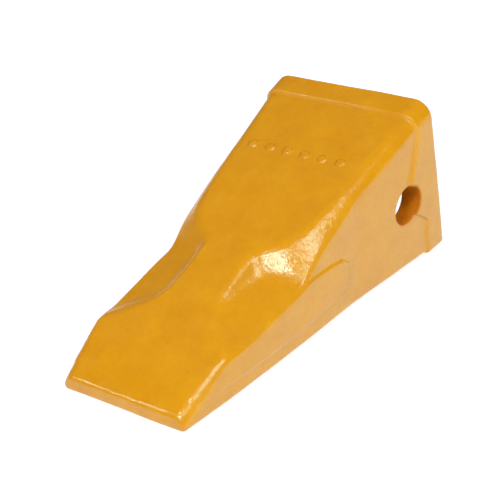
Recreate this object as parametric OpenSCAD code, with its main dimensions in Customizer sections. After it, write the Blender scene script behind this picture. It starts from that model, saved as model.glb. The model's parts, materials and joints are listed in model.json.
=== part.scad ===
// Side-pinned excavator bucket tooth: one hollow casting, with the cross pin and the
// retainer that lock it to its adapter nose stowed in the socket.
// Millimetres. Origin: centre of the pin bore. +X points to the cutting edge, +Z is up.
// Stations are distances back from the cutting edge, heights are above the ground.

/* [Casting] */
// Length from the cutting edge to the bottom edge of the rear face
tooth_length = 320; // [316:1:326]
// Pin bore axis, forward of the bottom edge of the rear face
bore_setback = 55.5; // [54:0.5:57]
// Pin bore axis above the ground
bore_height = 56; // [55:0.5:57]
// Diameter of the pin bore through both ears
bore_diameter = 30; // [29:0.5:31]
// Lean of the rear face, its top forward
rear_lean = 13; // [12:0.5:14]
// Slope of the back, from the blade up to the collar
back_slope = 21.8; // [21:0.1:22.5]
// Height at which the line of the back starts, at the cutting edge
back_start = 16.8; // [15:0.1:18]

/* [Blade] */
// Half width at the cutting edge
tip_half_width = 52.4; // [50:0.1:54]
// Height at which the line of the bevel starts, at the cutting edge
bevel_start = 10.3; // [9:0.1:12]
// Slope of the bevel behind the cutting edge
bevel_slope = 33.5; // [30:0.5:38]
// Widening of the blade for each millimetre back from the edge
blade_flare = 0.057; // [0.05:0.001:0.065]
// Half width of the body where it runs parallel, at ground level
body_half_width = 57.5; // [56:0.1:59]
// Half width over the side pads, at ground level
pad_half_width = 59.6; // [58.5:0.1:60.5]
// Outward lean of the side walls for each millimetre up
draft = 0.045; // [0.03:0.005:0.06]

/* [Scallops] */
// Half width of the ridge left between the two scallops
ridge_half_width = 20.5; // [18:0.5:23]
// Height of a scallop's floor at its outer edge, 100 mm back
scallop_height = 41; // [39:0.5:43]
// Where the rear wall of a scallop turns back along the side: station
scallop_corner = 145; // [142:1:148]

/* [Collar] */
// Length of the collar along the top
collar_length = 51; // [48:1:54]
// Height of the collar's step above the back
collar_step = 2.6; // [2:0.1:3.5]
// Half width of the collar at the bore station, at ground level
collar_half_width = 63.7; // [63:0.1:64.5]
// Widening of the collar for each millimetre back
collar_flare = 0.04; // [0.03:0.01:0.06]
// Radius of the collar's two top corners
collar_radius = 15; // [12:1:18]

/* [Socket] */
// Depth of the socket along its axis
socket_depth = 160; // [155:1:165]
// Half width of the socket at its mouth
socket_half_width = 51; // [50:0.5:52]
// Height of the socket's mouth along the rear face
mouth_height = 108; // [104:1:109]
// Wall below the mouth, along the rear face
mouth_wall = 14; // [13:0.5:15]

/* [Lock pin and retainer] */
// Diameter of the lock pin
pin_diameter = 27; // [26:0.5:27.5]
// Length of the lock pin
pin_length = 128; // [120:1:130]
// Outside diameter of the retainer
retainer_diameter = 46; // [44:1:48]
// Thickness of the retainer
retainer_width = 13; // [12:0.5:14]
// Thickness of the snap ring's wire
ring_wire = 3.6; // [3.2:0.1:4]

/* [Hidden] */
$fn = 96;
paint = [0.87, 0.58, 0.1];
bore_station = tooth_length - bore_setback;
front_radius = 2.5;
side_flare_start = 200;
side_flare = 0.06;
pad_rear = 186;
collar_front = tooth_length - collar_length;
collar_lip_front = tooth_length - 23;
collar_top_slope = 17;
socket_wall_slope = rear_lean;
socket_side_slope = 3;
socket_radius = 10;
socket_floor = mouth_wall * cos(rear_lean);
collar_lip_slope = 0.08;
underside_rise = 0.006;
bottom_radius = 3.5;
mark_count = 6;
mark_pitch = 15.5;
mark_station = 216;
mark_shift = 3;
mark_diameter = 7;
mark_height = 3;
stow_clearance = 0.1;
pin_stow = [170, -27];
retainer_stow = [196, 12];
pin_groove_setback = 19;
pin_groove_width = 4.6;
pin_groove_depth = 1.6;
retainer_bore = pin_diameter + 0.8;
retainer_groove_width = 5;
retainer_groove_depth = 4.6;
ring_gap_angle = 34;

// Front outline of the collar on the side: [forward of the rear bottom edge, height]
ear_outline = [[23, -6], [23, 5], [27, 18], [27.5, 33], [39, 41], [48, 46],
               [54, 73], [50, 88], [47.5, 101], [48, 116], [51, 127], [51, 160]];

// Top outline of the side pad: [station, height]
pad_outline = [[90, 43.5], [122, 46], [141, 49.5], [160, 49.5], [178, 47.5], [186, 42]];

// Lower outline of the side pad: [station, height]
pad_underside = [[90, 13.5], [122, 14], [141, 15], [160, 17], [178, 21], [186, 23]];

// Radius of the edge between top and side: [station, radius]; crisp along the scallops
edge_radii = [[0, 3.5], [25, 4.5], [45, 4.5], [60, 3], [140, 3], [190, 12], [330, 12.5]];

// Stations of the skin, closer together where the shape turns
stations = [0, 0.7, 2.5, 8, 15, 20, 25, 30, 36, 42, 47, 52, 58, 64, 70, 78, 86, 94, 102,
            110, 118, 124, 130, 136, 142, 148, 155, 163, 172, 180, 185.5, 187.5, 198, 212,
            236, 268, 330];

// Point at a station, side offset and height, in the part's frame
function at(s, y, h) = [bore_station - s, y, h - bore_height];

// Smooth lower and upper of two values, blended over k
function low(a, b, k) = let (m = max(k - abs(a - b), 0) / k) min(a, b) - m * m * k / 4;
function high(a, b, k) = -low(-a, -b, k);

function back_height(s) = back_start + s * tan(back_slope);
function crown_height(s) = low(bevel_start + s * tan(bevel_slope), back_height(s), 5);

// A scallop is bounded by a sloping floor, a short wall behind the blade, the face of the
// ridge, and a rear wall that turns a corner; y is the distance from the middle.
function scallop_surface(s, y) =
    let (floor_h = scallop_height + 0.225 * (s - 100) - 0.24 * (y - 60),
         front = back_height(s) - 0.75 * (s - (83 - 0.75 * y)),
         ridge_edge = ridge_half_width + pow(max(0, 88 - s), 2) / 60,
         ridge = back_height(s) - 1.3 * (y - ridge_edge),
         corner = back_height(scallop_corner),
         rear = corner + 1.28 * (s - scallop_corner) - 0.65 * (y - 46),
         flank = corner + 0.6 * (s - scallop_corner) - (y - 46))
    high(high(high(floor_h, front, 12), ridge, 4), low(rear, flank, 12), 6);
function top_height(s, y) = low(crown_height(s), scallop_surface(s, y), 1.5);

function underside(s) = underside_rise * s;
function on_pad(s, h) =
    s < pad_rear && h > lookup(s, pad_underside) && h < lookup(s, pad_outline);
function side_width(s, h) =
    low(tip_half_width + blade_flare * s, on_pad(s, h) ? pad_half_width : body_half_width, 4)
    + draft * h + side_flare * max(0, s - side_flare_start);
function top_radius(s) = lookup(s, edge_radii);

// Curve round a corner from a to b, with n points between the ends
function corner(a, c, b, n) =
    [for (i = [0 : n + 1]) let (t = i / (n + 1))
        (1 - t) * (1 - t) * a + 2 * t * (1 - t) * c + t * t * b];

// Half of the body's section at a station, from the top middle to the bottom middle
function half_section(s) =
    let (to_round = max(0, front_radius - s),
         trim = front_radius - sqrt(pow(front_radius, 2) - pow(to_round, 2)),
         w = side_width(s, top_height(s, body_half_width)) - trim,
         r = top_radius(s),
         r_low = min(bottom_radius, 1.5 + 0.1 * s),
         top_end = top_height(s, w) - 0.5 * r - trim,
         low_start = underside(s) + r_low + trim,
         span = top_end - low_start,
         pad_edge = lookup(s, pad_outline),
         pad_low = lookup(s, pad_underside),
         side_h = [min(pad_edge + 1, low_start + 0.9 * span),
                   min(pad_edge - 1, low_start + 0.75 * span),
                   min(pad_low + 1, low_start + 0.3 * span),
                   min(pad_low - 1, low_start + 0.15 * span)],
         top_end_w = side_width(s, top_end) - trim)
    concat(
        [for (u = [0, 0.2, 0.36, 0.42, 0.5, 0.6, 0.72, 0.86])
            [u * (w - r), top_height(s, u * (w - r)) - trim]],
        corner([w - r, top_height(s, w - r) - trim], [w, top_height(s, w) - trim], [top_end_w, top_end], 4),
        [for (h = side_h) [side_width(s, h) - trim, h]],
        corner([side_width(s, low_start) - trim, low_start], [side_width(s, 0) - trim, underside(s) + trim],
               [side_width(s, 0) - trim - r_low, underside(s) + trim], 2),
        [[0, underside(s) + trim]]);

// Half of the collar's section at a station
function half_collar(s) =
    let (top = back_height(collar_front) + collar_step + (s - collar_front) * tan(collar_top_slope),
         lip = collar_lip_slope * (s - collar_lip_front),
         w = collar_half_width + collar_flare * (s - bore_station),
         r = collar_radius)
    concat([[0, top]],
           corner([w + draft * top - r, top], [w + draft * top, top], [w + draft * (top - r), top - r], 6),
           [[w, lip], [0, lip]]);

// Whole ring in the part's frame from half a section, going round once
function ring(s, half) =
    let (n = len(half))
    concat([for (p = half) at(s, p[0], p[1])],
           [for (i = [n - 2 : -1 : 1]) at(s, -half[i][0], half[i][1])]);

// Closed skin over rings of the same length, each end closed round its middle point
module skin(rings) {
    n = len(rings[0]);
    last = len(rings) - 1;
    middle = function (r) (r[0] + r[n / 2]) / 2;
    front_point = n * len(rings);
    rear_point = front_point + 1;
    walls = [for (i = [0 : last - 1], j = [0 : n - 1])
        let (a = i * n + j, b = i * n + (j + 1) % n) each [[a, b + n, b], [a, a + n, b + n]]];
    ends = [for (j = [0 : n - 1]) let (k = (j + 1) % n)
        each [[front_point, j, k], [rear_point, last * n + k, last * n + j]]];
    polyhedron(concat([for (r = rings) each r], [middle(rings[0]), middle(rings[last])]),
               concat(walls, ends), convexity = 6);
}

module body() skin([for (s = stations) ring(s, half_section(s))]);

// Prism across the tooth from a side outline of [station, height] points
module across(outline, half_width) {
    translate(at(0, half_width, 0))
        rotate([90, 0, 0])
            linear_extrude(2 * half_width)
                polygon([for (p = outline) [-p[0], p[1]]]);
}

module collar() {
    intersection() {
        skin([for (s = [bore_station - 30, tooth_length + 8]) ring(s, half_collar(s))]);
        across(concat([for (p = ear_outline) [tooth_length - p[0], p[1]]],
                      [[tooth_length + 6, 160], [tooth_length + 6, -6]]), 90);
    }
}

// Everything behind the leaning rear face
module behind_rear_face() {
    translate(at(tooth_length, 0, 0))
        rotate([0, rear_lean, 0])
            translate([-80, -100, -40])
                cube([80, 200, 240]);
}

// Wedge-shaped socket for the adapter nose, its axis square to the rear face
module socket() {
    mouth_overrun = 6;
    corner_spread = function (depth) [
        mouth_height / 2 - depth * tan(socket_wall_slope) - socket_radius,
        socket_half_width - depth * tan(socket_side_slope) - socket_radius];
    translate(at(tooth_length, 0, 0))
        rotate([0, rear_lean, 0])
            translate([0, 0, mouth_wall + mouth_height / 2])
                hull() {
                    for (depth = [-mouth_overrun, socket_depth - 1], v = [-1, 1], w = [-1, 1])
                        translate([depth, w * corner_spread(depth)[1], v * corner_spread(depth)[0]])
                            rotate([0, 90, 0])
                                cylinder(h = 1, r = socket_radius, $fn = 32);
                }
}

module pin_bore() {
    rotate([90, 0, 0])
        cylinder(h = 200, d = bore_diameter, center = true);
}

// Row of plain round foundry marks on the back
module foundry_marks() {
    for (i = [0 : mark_count - 1])
        translate(at(mark_station, (i - (mark_count - 1) / 2) * mark_pitch - mark_shift,
                     back_height(mark_station)))
            rotate([0, back_slope, 0])
                cylinder(h = mark_height, d = mark_diameter, center = true);
}

module tooth_casting() {
    color(paint)
        difference() {
            union() {
                body();
                collar();
                foundry_marks();
            }
            behind_rear_face();
            socket();
            pin_bore();
        }
}

// Steel cross pin with chamfered ends and a groove for the snap ring
module lock_pin() {
    r = pin_diameter / 2;
    chamfer = 2;
    groove = pin_length - pin_groove_setback;
    color("silver")
        translate(at(pin_stow[0], pin_stow[1], socket_floor + r + stow_clearance))
            rotate([0, -90, 0])
                rotate_extrude()
                    polygon([[0, 0], [r - chamfer, 0], [r, chamfer],
                             [r, groove - pin_groove_width / 2],
                             [r - pin_groove_depth, groove - pin_groove_width / 2],
                             [r - pin_groove_depth, groove + pin_groove_width / 2],
                             [r, groove + pin_groove_width / 2],
                             [r, pin_length - chamfer], [r - chamfer, pin_length], [0, pin_length]]);
}

// Retainer body: a thick ring with an inner groove that holds the snap ring
module retainer_ring() {
    inner = retainer_bore / 2;
    outer = retainer_diameter / 2;
    low_groove = (retainer_width - retainer_groove_width) / 2;
    chamfer = 1;
    color("dimgray")
        translate(at(retainer_stow[0], retainer_stow[1], socket_floor + stow_clearance))
            rotate_extrude()
                polygon([[inner, 0], [outer - chamfer, 0], [outer, chamfer],
                         [outer, retainer_width - chamfer], [outer - chamfer, retainer_width],
                         [inner, retainer_width], [inner, low_groove + retainer_groove_width],
                         [inner + retainer_groove_depth, low_groove + retainer_groove_width],
                         [inner + retainer_groove_depth, low_groove], [inner, low_groove]]);
}

// Split spring ring that lies in the retainer's groove and grips the pin's groove
module retainer_snap_ring() {
    grip_radius = pin_diameter / 2 - pin_groove_depth + 0.4;
    lift = (retainer_width - retainer_groove_width + ring_wire) / 2;
    color("gray")
        translate(at(retainer_stow[0], retainer_stow[1], socket_floor + stow_clearance + lift))
            rotate([0, 0, ring_gap_angle / 2])
                rotate_extrude(angle = 360 - ring_gap_angle)
                    translate([grip_radius + ring_wire / 2, 0])
                        circle(d = ring_wire, $fn = 32);
}

tooth_casting();
lock_pin();
retainer_ring();
retainer_snap_ring();
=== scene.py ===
"""Excavator bucket tooth: the looks of the casting, its lock pin and its retainer.

The casting is a solid described by one function of position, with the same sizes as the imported
CAD part. It is meshed on a fine grid. The pin, the retainer and the snap ring are turned solids
that take their places from the CAD nodes. Sizes and shape functions are in millimetres, and
everything that reaches Blender is in metres. A station is a distance back from the cutting edge,
and a height is above the ground.
"""
import json
import math

import bmesh
import bpy
import numpy as np
from mathutils import Matrix, Vector


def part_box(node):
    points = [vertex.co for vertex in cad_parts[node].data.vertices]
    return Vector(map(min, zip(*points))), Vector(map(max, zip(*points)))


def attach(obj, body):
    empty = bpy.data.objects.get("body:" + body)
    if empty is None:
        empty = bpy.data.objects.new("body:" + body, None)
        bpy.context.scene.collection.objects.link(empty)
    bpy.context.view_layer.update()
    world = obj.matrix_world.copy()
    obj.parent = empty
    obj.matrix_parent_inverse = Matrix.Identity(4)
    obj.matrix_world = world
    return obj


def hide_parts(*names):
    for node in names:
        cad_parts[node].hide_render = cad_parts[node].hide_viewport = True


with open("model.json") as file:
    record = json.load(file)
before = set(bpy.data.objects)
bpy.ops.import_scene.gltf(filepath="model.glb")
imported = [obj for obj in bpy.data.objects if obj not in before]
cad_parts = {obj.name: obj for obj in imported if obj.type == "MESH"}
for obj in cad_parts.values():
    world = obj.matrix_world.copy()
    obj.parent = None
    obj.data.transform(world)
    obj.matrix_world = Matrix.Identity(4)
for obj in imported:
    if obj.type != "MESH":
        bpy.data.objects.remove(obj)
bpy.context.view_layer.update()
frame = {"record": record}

MM = 0.001
PIN_BORE = next(mount for mount in frame["record"]["mounts"] if mount["name"] == "pin_bore")

# ---------------------------------------------------------------- sizes of the casting
TOOTH_LENGTH = 320.0
BORE_STATION = 264.5
BORE_HEIGHT = 56.0
BORE_RADIUS = PIN_BORE["dims"]["r_mm"]
REAR_LEAN = math.radians(13.0)
BACK_SLOPE = math.tan(math.radians(21.8))
BACK_START = 16.8

# Blade and body: half widths are at ground level, and flares and draft are widenings for each
# millimetre back or up
TIP_HALF_WIDTH = 52.4
BEVEL_START = 10.3
BEVEL_SLOPE = math.tan(math.radians(33.5))
CROWN_BLEND = 5.0
BLADE_FLARE = 0.057
BLADE_BLEND = 4.0
BODY_HALF_WIDTH = 57.5
DRAFT = 0.045
SIDE_FLARE_START = 200.0
SIDE_FLARE = 0.06
UNDERSIDE_RISE = 0.006
BOTTOM_RADIUS = 3.5
TIP_RADIUS = 2.5

# Radius of the edge between top and side: stations, and radii at those stations
EDGE_STATIONS = [0, 22, 45, 70, 140]
EDGE_RADII = [10, 9, 5.5, 7.5, 12.5]

# Side pad: stations, and the heights of its upper and lower edge at those stations
PAD_STATIONS = [90, 122, 141, 160, 178, 186]
PAD_TOPS = [43.5, 46, 49.5, 49.5, 47.5, 42]
PAD_BOTTOMS = [13.5, 14, 15, 17, 21, 23]
PAD_HALF_WIDTH = 59.6
PAD_REAR = 186.0
PAD_RADIUS = 2.0
PAD_TIP_RADIUS = 3.0
PAD_FILLET = 1.5

# Scallops. Each has a floor, with its height at one station and one distance from the middle, a
# short wall behind the blade, the face of the ridge between the two, and a rear wall that turns a
# corner into a flank along the side. Rises go backward and falls go outward, for each millimetre.
FLOOR_HEIGHT = 41.0
FLOOR_STATION = 100.0
FLOOR_SIDE = 60.0
FLOOR_RISE = 0.225
FLOOR_FALL = 0.24
FLOOR_BLEND = 12.0
FRONT_STATION = 83.0
FRONT_SWEEP = 0.75
FRONT_SLOPE = 0.75
RIDGE_HALF_WIDTH = 20.5
RIDGE_FALL = 1.3
RIDGE_SPREAD_START = 88.0
RIDGE_SPREAD = 60.0
RIDGE_BLEND = 4.0
CORNER_STATION = 145.0
CORNER_SIDE = 46.0
CORNER_BLEND = 12.0
REAR_RISE = 1.28
REAR_FALL = 0.65
FLANK_RISE = 0.6
REAR_BLEND = 6.0
SCALLOP_RADIUS = 3.0

# Collar: its slopes and flare are for each millimetre back, and its lip is the lower edge
COLLAR_FRONT = 269.0
COLLAR_STEP = 2.6
COLLAR_HALF_WIDTH = 63.7
COLLAR_FLARE = 0.04
COLLAR_RADIUS = 15.0
COLLAR_TOP_SLOPE = math.tan(math.radians(17.0))
COLLAR_LIP_FRONT = 297.0
COLLAR_LIP_SLOPE = 0.08
COLLAR_LIP_RADIUS = 4.0
COLLAR_EDGE_RADIUS = 1.5
COLLAR_FILLET = 1.2

# Front edge of the collar on the side: heights, and stations at those heights
EAR_HEIGHTS = [-5, 5, 18, 33, 41, 46, 73, 88, 101, 116, 127, 150]
EAR_STATIONS = [297, 297, 293, 292.5, 281, 272, 266, 270, 272.5, 272, 269, 269]

# Socket, measured along its axis from the rear face, and the edges of the openings
SOCKET_DEPTH = 160.0
SOCKET_HALF_WIDTH = 51.0
SOCKET_RADIUS = 10.0
SOCKET_TOE_RADIUS = 8.0
SOCKET_SIDE_SLOPE = math.radians(3.0)
MOUTH_HEIGHT = 108.0
MOUTH_WALL = 14.0
REAR_EDGE_RADIUS = 2.5
MOUTH_EDGE_RADIUS = 2.0
BORE_EDGE_RADIUS = 1.5

# Row of plain round foundry pips on the back
MARK_COUNT = 6
MARK_PITCH = 15.5
MARK_STATION = 216.0
MARK_SHIFT = 3.0
MARK_RADIUS = 3.5
MARK_RELIEF = 1.4
MARK_EDGE_RADIUS = 1.0
MARK_FILLET = 1.0

# A height or station measured from a sloping surface, times its share, is about the distance to it
CROWN_SHARE = 0.92
SCALLOP_SHARE = 0.75
PAD_SHARE = 0.95
COLLAR_TOP_SHARE = 0.956
EAR_SHARE = 0.95
SOCKET_SHARE = 0.974

# Unevenness of the cast surface
WAVE_LENGTHS = (95.0, 70.0, 52.0, 38.0, 27.0, 19.0)
WAVE_HEIGHT = 0.12
WAVE_PHASES = 6.28  # about a full turn
WAVE_SEED = 7

# The painted shade on the inner walls, darker red-brown and mottled like rust, ends this far from
# them, and fades in over this distance
INNER_REACH = 1.6
INNER_FADE = 1.2

GRID_STEP = 1.5

# ---------------------------------------------------------------- sizes of the turned pieces
PIN_CHAMFER = 2.0
PIN_GROOVE_SETBACK = 19.0
PIN_GROOVE_WIDTH = 4.6
PIN_GROOVE_DEPTH = 1.6
PIN_EDGE_RADIUS = 0.7
RETAINER_BORE_RADIUS = 13.9
RETAINER_GROOVE_WIDTH = 5.0
RETAINER_GROOVE_DEPTH = 4.6
RETAINER_EDGE_RADIUS = 1.0
RING_GRIP_RADIUS = 12.3
RING_GAP = math.radians(34.0)


# ---------------------------------------------------------------- shape functions
def round_common(a, b, r):
    """Where both solids are: the distance to their intersection, its edge rounded by r."""
    u = np.maximum(r + a, 0.0)
    v = np.maximum(r + b, 0.0)
    return np.minimum(-r, np.maximum(a, b)) + np.sqrt(u * u + v * v)


def round_union(a, b, r):
    """Where either solid is, with the inner corner filled to a radius of r."""
    return -round_common(-a, -b, r)


def low(a, b, k):
    """The lower of two values, blended smoothly where they differ by less than k."""
    m = np.maximum(k - np.abs(a - b), 0.0) / k
    return np.minimum(a, b) - m * m * k / 4


def high(a, b, k):
    """The higher of two values, blended smoothly where they differ by less than k."""
    return -low(-a, -b, k)


def back_height(s):
    """Height of the straight line of the back at station s."""
    return BACK_START + BACK_SLOPE * s


def crown_height(s):
    """Height of the top at station s: the blade's bevel, then the back."""
    return low(BEVEL_START + BEVEL_SLOPE * s, back_height(s), CROWN_BLEND)


def scallop_surface(s, y):
    """Height of the scallop's floor and walls at station s, y from the middle."""
    floor = FLOOR_HEIGHT + FLOOR_RISE * (s - FLOOR_STATION) - FLOOR_FALL * (y - FLOOR_SIDE)
    front = back_height(s) - FRONT_SLOPE * (s - (FRONT_STATION - FRONT_SWEEP * y))
    ridge_edge = RIDGE_HALF_WIDTH + np.maximum(0.0, RIDGE_SPREAD_START - s) ** 2 / RIDGE_SPREAD
    ridge = back_height(s) - RIDGE_FALL * (y - ridge_edge)
    corner = back_height(CORNER_STATION)
    rear = corner + REAR_RISE * (s - CORNER_STATION) - REAR_FALL * (y - CORNER_SIDE)
    flank = corner + FLANK_RISE * (s - CORNER_STATION) - (y - CORNER_SIDE)
    bowl = high(high(floor, front, FLOOR_BLEND), ridge, RIDGE_BLEND)
    return high(bowl, low(rear, flank, CORNER_BLEND), REAR_BLEND)


def side_width(s, h, widest):
    """Half width of the body at station s and height h."""
    flare = SIDE_FLARE * np.maximum(0.0, s - SIDE_FLARE_START)
    return low(TIP_HALF_WIDTH + BLADE_FLARE * s, widest, BLADE_BLEND) + DRAFT * h + flare


def cast_waves(x, y, z):
    """Slight unevenness of a sand casting, from a fixed set of long waves."""
    rng = np.random.default_rng(WAVE_SEED)
    total = 0.0
    for length in WAVE_LENGTHS:
        way = rng.normal(size=3)
        way *= 2 * math.pi / length / np.linalg.norm(way)
        phase = rng.uniform(0, WAVE_PHASES)
        wave = np.sin(way[0] * x + way[1] * y + way[2] * z + phase)
        total = total + length / WAVE_LENGTHS[0] * wave
    return WAVE_HEIGHT * total


def body_solid(s, y, h):
    """The blade and body with the raised side pad, cut by the scallop."""
    top = (h - crown_height(s)) * CROWN_SHARE
    radius = np.interp(s, EDGE_STATIONS, EDGE_RADII)
    core = round_common(top, y - side_width(s, h, BODY_HALF_WIDTH), radius)
    core = round_common(core, UNDERSIDE_RISE * s - h, BOTTOM_RADIUS)
    core = round_common(core, -s, TIP_RADIUS)
    pad_top = np.interp(s, PAD_STATIONS, PAD_TOPS)
    pad_bottom = np.interp(s, PAD_STATIONS, PAD_BOTTOMS)
    pad = round_common(y - side_width(s, h, PAD_HALF_WIDTH), h - pad_top, PAD_RADIUS)
    pad = round_common(pad, s - PAD_REAR, PAD_RADIUS)
    pad = round_common(pad, (pad_bottom - h) * PAD_SHARE, PAD_RADIUS)
    pad = round_common(round_common(pad, top, radius), -s, PAD_TIP_RADIUS)
    scallop = (h - scallop_surface(s, y)) * SCALLOP_SHARE
    return round_common(round_union(core, pad, PAD_FILLET), scallop, SCALLOP_RADIUS)


def collar_solid(s, y, h):
    """The raised collar round the rear, with its stepped front edge on the side."""
    roof = back_height(COLLAR_FRONT) + COLLAR_STEP + COLLAR_TOP_SLOPE * (s - COLLAR_FRONT)
    wide = COLLAR_HALF_WIDTH + DRAFT * h + COLLAR_FLARE * (s - BORE_STATION)
    ear_front = (np.interp(h, EAR_HEIGHTS, EAR_STATIONS) - s) * EAR_SHARE
    solid = round_common((h - roof) * COLLAR_TOP_SHARE, y - wide, COLLAR_RADIUS)
    solid = round_common(solid, COLLAR_LIP_SLOPE * (s - COLLAR_LIP_FRONT) - h, COLLAR_LIP_RADIUS)
    return round_common(solid, ear_front, COLLAR_EDGE_RADIUS)


def marks_solid(s, side, h):
    """Row of plain raised pips on the back."""
    tilt = math.atan(BACK_SLOPE)
    along = (s - MARK_STATION) * math.cos(tilt) + (h - back_height(MARK_STATION)) * math.sin(tilt)
    proud = (h - back_height(s)) * math.cos(tilt)
    nearest = np.inf
    for i in range(MARK_COUNT):
        centre = (i - (MARK_COUNT - 1) / 2) * MARK_PITCH - MARK_SHIFT
        nearest = np.minimum(nearest, np.hypot(side - centre, along))
    return round_common(nearest - MARK_RADIUS, np.abs(proud) - MARK_RELIEF, MARK_EDGE_RADIUS)


def socket_space(s, y, h):
    """Distance to the socket's wall, negative in the hollow, and the depth from the rear face."""
    depth = (TOOTH_LENGTH - s) * math.cos(REAR_LEAN) - h * math.sin(REAR_LEAN)
    rise = (TOOTH_LENGTH - s) * math.sin(REAR_LEAN) + h * math.cos(REAR_LEAN)
    half_height = MOUTH_HEIGHT / 2 - depth * math.tan(REAR_LEAN)
    half_width = SOCKET_HALF_WIDTH - depth * math.tan(SOCKET_SIDE_SLOPE)
    offset = np.abs(rise - MOUTH_WALL - MOUTH_HEIGHT / 2)
    socket = round_common((offset - half_height) * SOCKET_SHARE, y - half_width, SOCKET_RADIUS)
    return round_common(socket, depth - SOCKET_DEPTH, SOCKET_TOE_RADIUS), depth


def bore_space(s, h):
    """Distance to the wall of the pin bore, negative in the bore."""
    return np.hypot(s - BORE_STATION, h - BORE_HEIGHT) - BORE_RADIUS


def tooth_solid(x, side, z):
    """Negative inside the casting. Arguments are millimetres in the part's frame."""
    s = BORE_STATION - x
    h = z + BORE_HEIGHT
    y = np.abs(side)
    socket, depth = socket_space(s, y, h)
    solid = round_union(body_solid(s, y, h), collar_solid(s, y, h), COLLAR_FILLET)
    solid = round_union(solid, marks_solid(s, side, h), MARK_FILLET)
    solid = round_common(solid, -depth, REAR_EDGE_RADIUS)
    solid = solid + cast_waves(x, side, z)
    solid = round_common(solid, -socket, MOUTH_EDGE_RADIUS)
    return round_common(solid, -bore_space(s, h), BORE_EDGE_RADIUS)


def inner_share(x, side, z):
    """1 on the walls of the socket and the bore, 0 on the outside, for the painted shade on those
    walls.
    """
    s = BORE_STATION - x
    h = z + BORE_HEIGHT
    socket, _ = socket_space(s, np.abs(side), h)
    nearest = np.minimum(np.abs(socket), np.abs(bore_space(s, h)))
    return np.clip((INNER_REACH - nearest) / INNER_FADE, 0.0, 1.0)


# ---------------------------------------------------------------- meshing
def edge_crossings(grid, cells):
    """For each cell, the sum of the places where its edges cross the surface, and how many do."""
    total = np.zeros(cells + (3,))
    count = np.zeros(cells)
    for axis in range(3):
        a = np.take(grid, range(grid.shape[axis] - 1), axis)
        b = np.take(grid, range(1, grid.shape[axis]), axis)
        cross = (a < 0) != (b < 0)
        part = np.where(cross, a / np.where(cross, a - b, 1.0), 0.0)
        first, second = [k for k in range(3) if k != axis]
        for i in (0, 1):
            for j in (0, 1):
                cut = [slice(None)] * 3
                cut[first] = slice(i, i + cells[first])
                cut[second] = slice(j, j + cells[second])
                hit = cross[tuple(cut)]
                total[..., axis] += np.where(hit, part[tuple(cut)], 0.0)
                total[..., first] += np.where(hit, float(i), 0.0)
                total[..., second] += np.where(hit, float(j), 0.0)
                count += hit
    return total, count


def crossing_quads(inside, index, cells):
    """One quad round each grid edge that crosses the surface, wound to face outward."""
    quads = []
    for axis in range(3):
        a = np.take(inside, range(inside.shape[axis] - 1), axis)
        b = np.take(inside, range(1, inside.shape[axis]), axis)
        first, second = [k for k in range(3) if k != axis]
        at = np.argwhere(a != b)
        ok = (at[:, first] > 0) & (at[:, second] > 0)
        ok &= (at[:, first] < cells[first]) & (at[:, second] < cells[second])
        at = at[ok]
        ring = []
        for i, j in ((1, 1), (0, 1), (0, 0), (1, 0)):
            cell = at.copy()
            cell[:, first] -= i
            cell[:, second] -= j
            ring.append(index[tuple(cell.T)])
        ring = np.stack(ring, 1)
        outward = a[tuple(at.T)] != (axis == 1)
        ring[~outward] = ring[~outward][:, ::-1]
        quads.append(ring)
    return np.concatenate(quads)


def surface_net(field, low_corner, high_corner, step):
    """Points and quads on the zero surface of field: one point in each cell that it crosses."""
    axes = [np.arange(a, b + step, step) for a, b in zip(low_corner, high_corner)]
    grid = field(*np.meshgrid(*axes, indexing="ij", sparse=True))
    cells = tuple(n - 1 for n in grid.shape)
    total, count = edge_crossings(grid, cells)
    used = count > 0
    index = np.full(cells, -1)
    index[used] = np.arange(used.sum())
    origin = np.array([a[0] for a in axes])
    points = (np.argwhere(used) + total[used] / count[used][:, None]) * step + origin
    return points, crossing_quads(grid < 0, index, cells)


def slope_at(field, points, reach=0.05):
    """Gradient of field at points."""
    slope = np.empty_like(points)
    for axis in range(3):
        shift = np.zeros(3)
        shift[axis] = reach
        slope[:, axis] = field(*(points + shift).T) - field(*(points - shift).T)
    return slope / (2 * reach)


def relax(points, edges):
    """Moves every point half way to the mean of its neighbours."""
    total = np.zeros_like(points)
    count = np.zeros(len(points))
    for a, b in ((0, 1), (1, 0)):
        for axis in range(3):
            total[:, axis] += np.bincount(edges[:, a], points[edges[:, b], axis], len(points))
        count += np.bincount(edges[:, a], minlength=len(points))
    return 0.5 * points + 0.5 * total / count[:, None]


def settle(field, points, quads, rounds=3, last_pulls=2, least_slope=0.2):
    """Evens out the net and pulls every point back on to the surface."""
    edges = np.concatenate([quads[:, [0, 1]], quads[:, [1, 2]], quads[:, [2, 3]], quads[:, [3, 0]]])
    for turn in range(rounds + last_pulls):
        if turn < rounds:
            points = relax(points, edges)
        slope = slope_at(field, points)
        size = np.maximum((slope ** 2).sum(1), least_slope)
        points = points - (field(*points.T) / size)[:, None] * slope
    return points


def smooth_piece(name, mesh):
    """A smooth-shaded object at the origin that shows the mesh."""
    mesh.polygons.foreach_set("use_smooth", [True] * len(mesh.polygons))
    mesh.update()
    piece = bpy.data.objects.new(name, mesh)
    bpy.context.scene.collection.objects.link(piece)
    return piece


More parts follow.
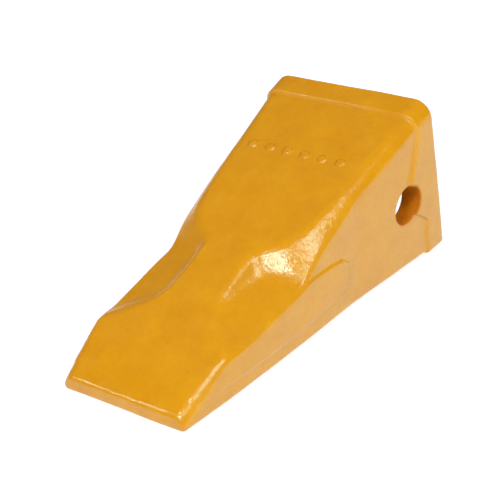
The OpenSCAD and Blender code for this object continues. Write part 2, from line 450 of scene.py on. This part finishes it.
def make_casting():
    """The casting as one skin, with an attribute that says where its inner walls are."""
    low_corner, high_corner = [np.array(c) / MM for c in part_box("tooth_casting")]
    margin = 2 * GRID_STEP
    points, quads = surface_net(tooth_solid, low_corner - margin, high_corner + margin, GRID_STEP)
    points = settle(tooth_solid, points, quads)
    normals = slope_at(tooth_solid, points)
    normals /= np.linalg.norm(normals, axis=1)[:, None]
    mesh = bpy.data.meshes.new("tooth_skin")
    mesh.from_pydata((points * MM).tolist(), [], quads.tolist())
    piece = smooth_piece("tooth_skin", mesh)
    mesh.normals_split_custom_set_from_vertices(normals.tolist())
    share = mesh.attributes.new("inner", "FLOAT", "POINT")
    share.data.foreach_set("value", inner_share(*points.T))
    return piece


# ---------------------------------------------------------------- turned steel pieces
def rounded_profile(corners, radius, steps=5):
    """A closed outline of (radius, height) points, rounded at the corners off the axis."""
    outline = []
    count = len(corners)
    for i in range(count):
        here = np.array(corners[i], float)
        if here[0] == 0:
            outline.append(here)
            continue
        before = np.array(corners[i - 1], float) - here
        after = np.array(corners[(i + 1) % count], float) - here
        reach = min(radius, 0.45 * np.linalg.norm(before), 0.45 * np.linalg.norm(after))
        start = here + before / np.linalg.norm(before) * reach
        end = here + after / np.linalg.norm(after) * reach
        for k in range(steps + 1):
            t = k / steps
            outline.append((1 - t) ** 2 * start + 2 * t * (1 - t) * here + t * t * end)
    return np.array(outline)


def weld(mesh, reach=1e-6):
    """Joins the points that meet, drops the faces that this leaves empty, and faces all outward."""
    shape = bmesh.new()
    shape.from_mesh(mesh)
    bmesh.ops.remove_doubles(shape, verts=shape.verts, dist=reach)
    bmesh.ops.dissolve_degenerate(shape, edges=shape.edges, dist=reach)
    bmesh.ops.recalc_face_normals(shape, faces=shape.faces)
    shape.to_mesh(mesh)
    shape.free()


def turned(name, outline, steps=128, gap=0.0):
    """Solid of revolution about Z from an outline of (radius, height), less a gap at its end."""
    sections = steps + 1 if gap else steps
    angles = np.arange(sections) * (2 * math.pi - gap) / steps
    ring = len(outline)
    points = np.array([[r * math.cos(a), r * math.sin(a), z] for a in angles for r, z in outline])
    faces = []
    for i in range(steps):
        j = (i + 1) % sections
        for k in range(ring):
            m = (k + 1) % ring
            faces.append((i * ring + k, j * ring + k, j * ring + m, i * ring + m))
    if gap:
        faces.append(tuple(range(ring)))
        faces.append(tuple(steps * ring + k for k in reversed(range(ring))))
    mesh = bpy.data.meshes.new(name)
    mesh.from_pydata((points * MM).tolist(), [], faces)
    weld(mesh)
    return smooth_piece(name, mesh)


def corners_of(node):
    """Lowest and highest corner of a CAD node, and the point midway between them."""
    low_corner, high_corner = [Vector(c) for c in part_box(node)]
    return low_corner, high_corner, (low_corner + high_corner) / 2


def place(piece, spot, turn=Matrix.Identity(4)):
    """Turns and moves the mesh itself, so that the object stays at the origin."""
    piece.data.transform(Matrix.Translation(spot) @ turn)
    piece.data.update()
    return piece


def make_pin():
    """The cross pin: chamfered ends, and a groove near its rear end for the snap ring."""
    low_corner, high_corner, middle = corners_of("lock_pin")
    radius = (high_corner.z - low_corner.z) / 2 / MM
    length = (high_corner.x - low_corner.x) / MM
    shoulder = radius - PIN_CHAMFER
    neck = radius - PIN_GROOVE_DEPTH
    groove = length - PIN_GROOVE_SETBACK
    groove_low = groove - PIN_GROOVE_WIDTH / 2
    groove_high = groove + PIN_GROOVE_WIDTH / 2
    outline = [(0, 0), (shoulder, 0), (radius, PIN_CHAMFER), (radius, groove_low),
               (neck, groove_low), (neck, groove_high), (radius, groove_high),
               (radius, length - PIN_CHAMFER), (shoulder, length), (0, length)]
    piece = turned("lock_pin_steel", rounded_profile(outline, PIN_EDGE_RADIUS))
    turn = Matrix.Rotation(-math.pi / 2, 4, "Y")
    return place(piece, (high_corner.x, middle.y, middle.z), turn)


def make_retainer():
    """The retainer body: a thick ring with an inner groove for the snap ring."""
    low_corner, high_corner, middle = corners_of("retainer_ring")
    outer = (high_corner.x - low_corner.x) / 2 / MM
    height = (high_corner.z - low_corner.z) / MM
    inner = RETAINER_BORE_RADIUS
    deep = inner + RETAINER_GROOVE_DEPTH
    groove_low = (height - RETAINER_GROOVE_WIDTH) / 2
    groove_high = groove_low + RETAINER_GROOVE_WIDTH
    outline = [(inner, 0), (outer, 0), (outer, height), (inner, height), (inner, groove_high),
               (deep, groove_high), (deep, groove_low), (inner, groove_low)]
    piece = turned("retainer_ring_steel", rounded_profile(outline, RETAINER_EDGE_RADIUS))
    return place(piece, (middle.x, middle.y, low_corner.z))


def make_snap_ring():
    """The split spring ring of round wire, its gap towards the blade."""
    low_corner, high_corner, wire_middle = corners_of("retainer_snap_ring")
    _, _, middle = corners_of("retainer_ring")
    wire = (high_corner.z - low_corner.z) / 2 / MM
    centre = RING_GRIP_RADIUS + wire
    angles = np.linspace(0, 2 * math.pi, 24, endpoint=False)
    outline = [(centre + wire * math.cos(a), wire * math.sin(a)) for a in angles]
    piece = turned("snap_ring_wire", outline, steps=96, gap=RING_GAP)
    turn = Matrix.Rotation(RING_GAP / 2, 4, "Z")
    return place(piece, (middle.x, middle.y, wire_middle.z), turn)


# ---------------------------------------------------------------- materials
def grey(value):
    """A colour of three equal parts."""
    return (value, value, value)


class Nodes:
    """A new material, and short calls that add and link its shader nodes."""

    def __init__(self, name):
        self.material = bpy.data.materials.new(name)
        self.material.use_nodes = True
        self.tree = self.material.node_tree
        self.shader = self.tree.nodes["Principled BSDF"]
        self.place = self.add("ShaderNodeTexCoord").outputs["Object"]

    def add(self, kind, **settings):
        """A new node with its settings."""
        node = self.tree.nodes.new(kind)
        for key, value in settings.items():
            setattr(node, key, value)
        return node

    def feed(self, socket, value):
        """Links a socket to another node's output, or sets it to a plain value."""
        if isinstance(value, bpy.types.NodeSocket):
            self.tree.links.new(value, socket)
        else:
            socket.default_value = value

    def noise(self, scale, detail=3.0, rough=0.5):
        """Noise from 0 to 1, its scale for each metre of the object."""
        node = self.add("ShaderNodeTexNoise")
        inputs = {"Scale": scale, "Detail": detail, "Roughness": rough, "Vector": self.place}
        for name, value in inputs.items():
            self.feed(node.inputs[name], value)
        return node.outputs["Fac"]

    def ramp(self, value, low_stop, high_stop):
        """A colour that runs from one (place, colour) stop to the other."""
        node = self.add("ShaderNodeValToRGB")
        for element, (where, colour) in zip(node.color_ramp.elements, (low_stop, high_stop)):
            element.position = where
            element.color = (*colour, 1.0)
        self.feed(node.inputs["Fac"], value)
        return node.outputs["Color"]

    def mix(self, factor, a, b):
        """A colour that is a where the factor is 0 and b where it is 1."""
        node = self.add("ShaderNodeMix", data_type="RGBA")
        named = {socket.identifier: socket for socket in node.inputs}
        self.feed(named["Factor_Float"], factor)
        self.feed(named["A_Color"], a)
        self.feed(named["B_Color"], b)
        outputs = {socket.identifier: socket for socket in node.outputs}
        return outputs["Result_Color"]

    def maths(self, kind, a, b):
        """The result of one operation on two values."""
        node = self.add("ShaderNodeMath", operation=kind)
        self.feed(node.inputs[0], a)
        self.feed(node.inputs[1], b)
        return node.outputs[0]

    def bump(self, height, distance, strength, after=None):
        """A normal bumped by a height, on top of another bump if there is one."""
        node = self.add("ShaderNodeBump")
        self.feed(node.inputs["Strength"], strength)
        self.feed(node.inputs["Distance"], distance)
        self.feed(node.inputs["Height"], height)
        if after is not None:
            self.feed(node.inputs["Normal"], after)
        return node.outputs["Normal"]


def paint_material():
    """Glossy orange-yellow enamel over a cast surface; on the inner walls dull, with a darker
    red-brown painted shade mottled like rust.
    """
    m = Nodes("tooth_paint")
    surface = m.shader.inputs
    inner = m.add("ShaderNodeAttribute", attribute_name="inner").outputs["Fac"]

    mottling = m.noise(45.0, detail=6.0, rough=0.75)
    enamel = m.ramp(mottling, (0.3, (0.59, 0.236, 0.0)), (0.7, (0.67, 0.293, 0.001)))
    chips = m.ramp(m.noise(420.0, detail=2.0, rough=0.6), (0.735, grey(0.0)), (0.76, grey(1.0)))
    enamel = m.mix(chips, enamel, (0.30, 0.11, 0.008, 1.0))
    # Inner walls of the socket and bore: a darker, mottled red-brown that is painted shade for those
    # hollows.
    mottle_noise = m.noise(70.0, detail=5.0, rough=0.65)
    inner_painted_shade = m.ramp(mottle_noise, (0.35, (0.44, 0.12, 0.002)), (0.65, (0.54, 0.17, 0.003)))
    m.feed(surface["Base Color"], m.mix(inner, enamel, inner_painted_shade))

    sheen = m.ramp(m.noise(60.0), (0.35, grey(0.17)), (0.7, grey(0.26)))
    m.feed(surface["Roughness"], m.mix(inner, sheen, (*grey(0.55), 1.0)))
    m.feed(surface["Specular IOR Level"], m.maths("SUBTRACT", 0.75, m.maths("MULTIPLY", inner, 0.6)))
    m.feed(surface["Specular Tint"], (0.6, 1.0, 0.86, 1.0))

    wave = m.bump(m.noise(70.0), distance=0.0007, strength=0.6)
    dimple = m.bump(m.noise(260.0, detail=2.0), distance=0.0004, strength=0.8, after=wave)
    grain = m.noise(650.0, detail=2.0, rough=0.6)
    m.feed(surface["Normal"], m.bump(grain, distance=0.00022, strength=0.9, after=dimple))
    return m.material


def steel_material(name, dark, light, roughness, stain_scale):
    """Bare or blackened steel with cloudy stains, uneven gloss and a fine grain."""
    m = Nodes(name)
    surface = m.shader.inputs
    mottle_noise = m.noise(stain_scale, detail=4.0, rough=0.6)
    m.feed(surface["Base Color"], m.ramp(mottle_noise, (0.3, dark), (0.7, light)))
    m.feed(surface["Metallic"], 1.0)
    handled = m.ramp(m.noise(80.0), (0.3, grey(roughness)), (0.75, grey(roughness + 0.15)))
    m.feed(surface["Roughness"], handled)
    m.feed(surface["Normal"], m.bump(m.noise(600.0, detail=2.0), distance=0.0001, strength=0.3))
    return m.material


# ---------------------------------------------------------------- stage
WHITE = (1.0, 1.0, 1.0, 1.0)

# The middle of the tooth, at which every light points
LIT_MIDDLE = Vector((0.1, 0.0, 0.0))

# Lights: name, direction from the tooth, distance, width and height, power, seen in reflections
LIGHTS = [
    ("side_fill", (0.1, 0.9, 0.42), 1.2, (0.9, 0.7), 3.8, False),
    ("front_box", (0.74, 0.2, 0.64), 1.3, (0.3, 0.25), 7.8, True),
    ("flank_box", (0.18, 0.58, 0.79), 1.3, (0.7, 0.42), 7.0, True),
    ("far_fill", (0.1, -0.9, 0.42), 1.2, (0.9, 0.7), 1.2, False),
    ("rear_fill", (-0.9, 0.1, 0.45), 1.3, (0.9, 0.7), 3.2, False),
    ("left_spark", (0.66, -0.6, 0.45), 1.3, (0.1, 0.1), 2.0, True),
    ("overhead", (-0.45, -0.35, 1.0), 3.0, (4.0, 4.0), 32.0, False),
]
LIGHT_TINTS = {"side_fill": (0.86, 1.0, 0.75)}


def make_floor():
    """A pale floor under the tooth, which gives off some light, so that it has no dark horizon."""
    bpy.ops.mesh.primitive_plane_add(size=12.0, location=(0, 0, -BORE_HEIGHT * MM))
    floor = bpy.context.object
    floor.name = "floor"
    m = Nodes("floor_white")
    m.feed(m.shader.inputs["Base Color"], (*grey(0.45), 1.0))
    m.feed(m.shader.inputs["Roughness"], 0.9)
    m.feed(m.shader.inputs["Emission Color"], WHITE)
    m.feed(m.shader.inputs["Emission Strength"], 0.7)
    floor.data.materials.append(m.material)


def make_room(ambient_strength=0.10, backdrop_strength=0.8):
    """Dim white light from all round, seen by the camera as a pale backdrop."""
    world = bpy.data.worlds.new("studio")
    bpy.context.scene.world = world
    world.use_nodes = True
    tree = world.node_tree
    ambient = tree.nodes["Background"]
    backdrop = tree.nodes.new("ShaderNodeBackground")
    for node, strength in ((ambient, ambient_strength), (backdrop, backdrop_strength)):
        node.inputs["Color"].default_value = WHITE
        node.inputs["Strength"].default_value = strength
    seen = tree.nodes.new("ShaderNodeLightPath").outputs["Is Camera Ray"]
    mix = tree.nodes.new("ShaderNodeMixShader")
    tree.links.new(seen, mix.inputs["Fac"])
    tree.links.new(ambient.outputs["Background"], mix.inputs[1])
    tree.links.new(backdrop.outputs["Background"], mix.inputs[2])
    tree.links.new(mix.outputs["Shader"], tree.nodes["World Output"].inputs["Surface"])


def make_lights():
    """Soft boxes round the tooth. The fills only brighten, and the boxes also show as gloss."""
    for name, way, distance, size, power, reflected in LIGHTS:
        data = bpy.data.lights.new(name, "AREA")
        data.shape = "RECTANGLE"
        data.size, data.size_y = size
        data.energy = power
        if name in LIGHT_TINTS:
            data.color = LIGHT_TINTS[name]
        light = bpy.data.objects.new(name, data)
        light.location = LIT_MIDDLE + distance * Vector(way).normalized()
        light.rotation_euler = Vector(way).to_track_quat("Z", "Y").to_euler()
        light.visible_glossy = reflected
        bpy.context.scene.collection.objects.link(light)


def make_camera():
    """The photograph's camera: its bearing, height, tilt, distance and lens."""
    azimuth, elevation, roll = 0.64385, 0.45331, -0.05679
    distance = 0.9595
    target = Vector((0.1045, 0.0, 0.0048))
    away = Vector((math.cos(elevation) * math.cos(azimuth),
                   math.cos(elevation) * math.sin(azimuth), math.sin(elevation)))
    right = (-away).cross(Vector((0, 0, 1))).normalized()
    up = right.cross(-away)
    tilted_right = right * math.cos(roll) + up * math.sin(roll)
    tilted_up = up * math.cos(roll) - right * math.sin(roll)
    turn = Matrix((tilted_right, tilted_up, away)).transposed().to_4x4()
    data = bpy.data.cameras.new("camera")
    data.lens = 95.36
    data.sensor_width = 36.0
    data.shift_x = -0.0169
    data.shift_y = -0.0313
    data.clip_start = 0.05
    camera = bpy.data.objects.new("camera", data)
    camera.matrix_world = Matrix.Translation(target + away * distance) @ turn
    bpy.context.scene.collection.objects.link(camera)
    bpy.context.scene.camera = camera


# ---------------------------------------------------------------- assembly
def fit(piece, body, node, material):
    """Shows the piece in the place of a CAD node, with its material, on its body."""
    piece.data.materials.append(material)
    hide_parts(node)
    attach(piece, body)


make_camera()
make_floor()
make_room()
make_lights()
bpy.context.scene.view_settings.view_transform = "Standard"

bright_steel = steel_material("pin_steel", (0.30, 0.30, 0.31), (0.42, 0.42, 0.43), 0.28, 260.0)
black_steel = steel_material("black_steel", (0.035, 0.035, 0.038), (0.07, 0.07, 0.075), 0.38, 180.0)
spring_steel = steel_material("spring_steel", (0.16, 0.16, 0.17), (0.26, 0.26, 0.28), 0.3, 400.0)

fit(make_casting(), "casting", "tooth_casting", paint_material())
fit(make_pin(), "pin", "lock_pin", bright_steel)
fit(make_retainer(), "retainer", "retainer_ring", black_steel)
fit(make_snap_ring(), "retainer", "retainer_snap_ring", spring_steel)
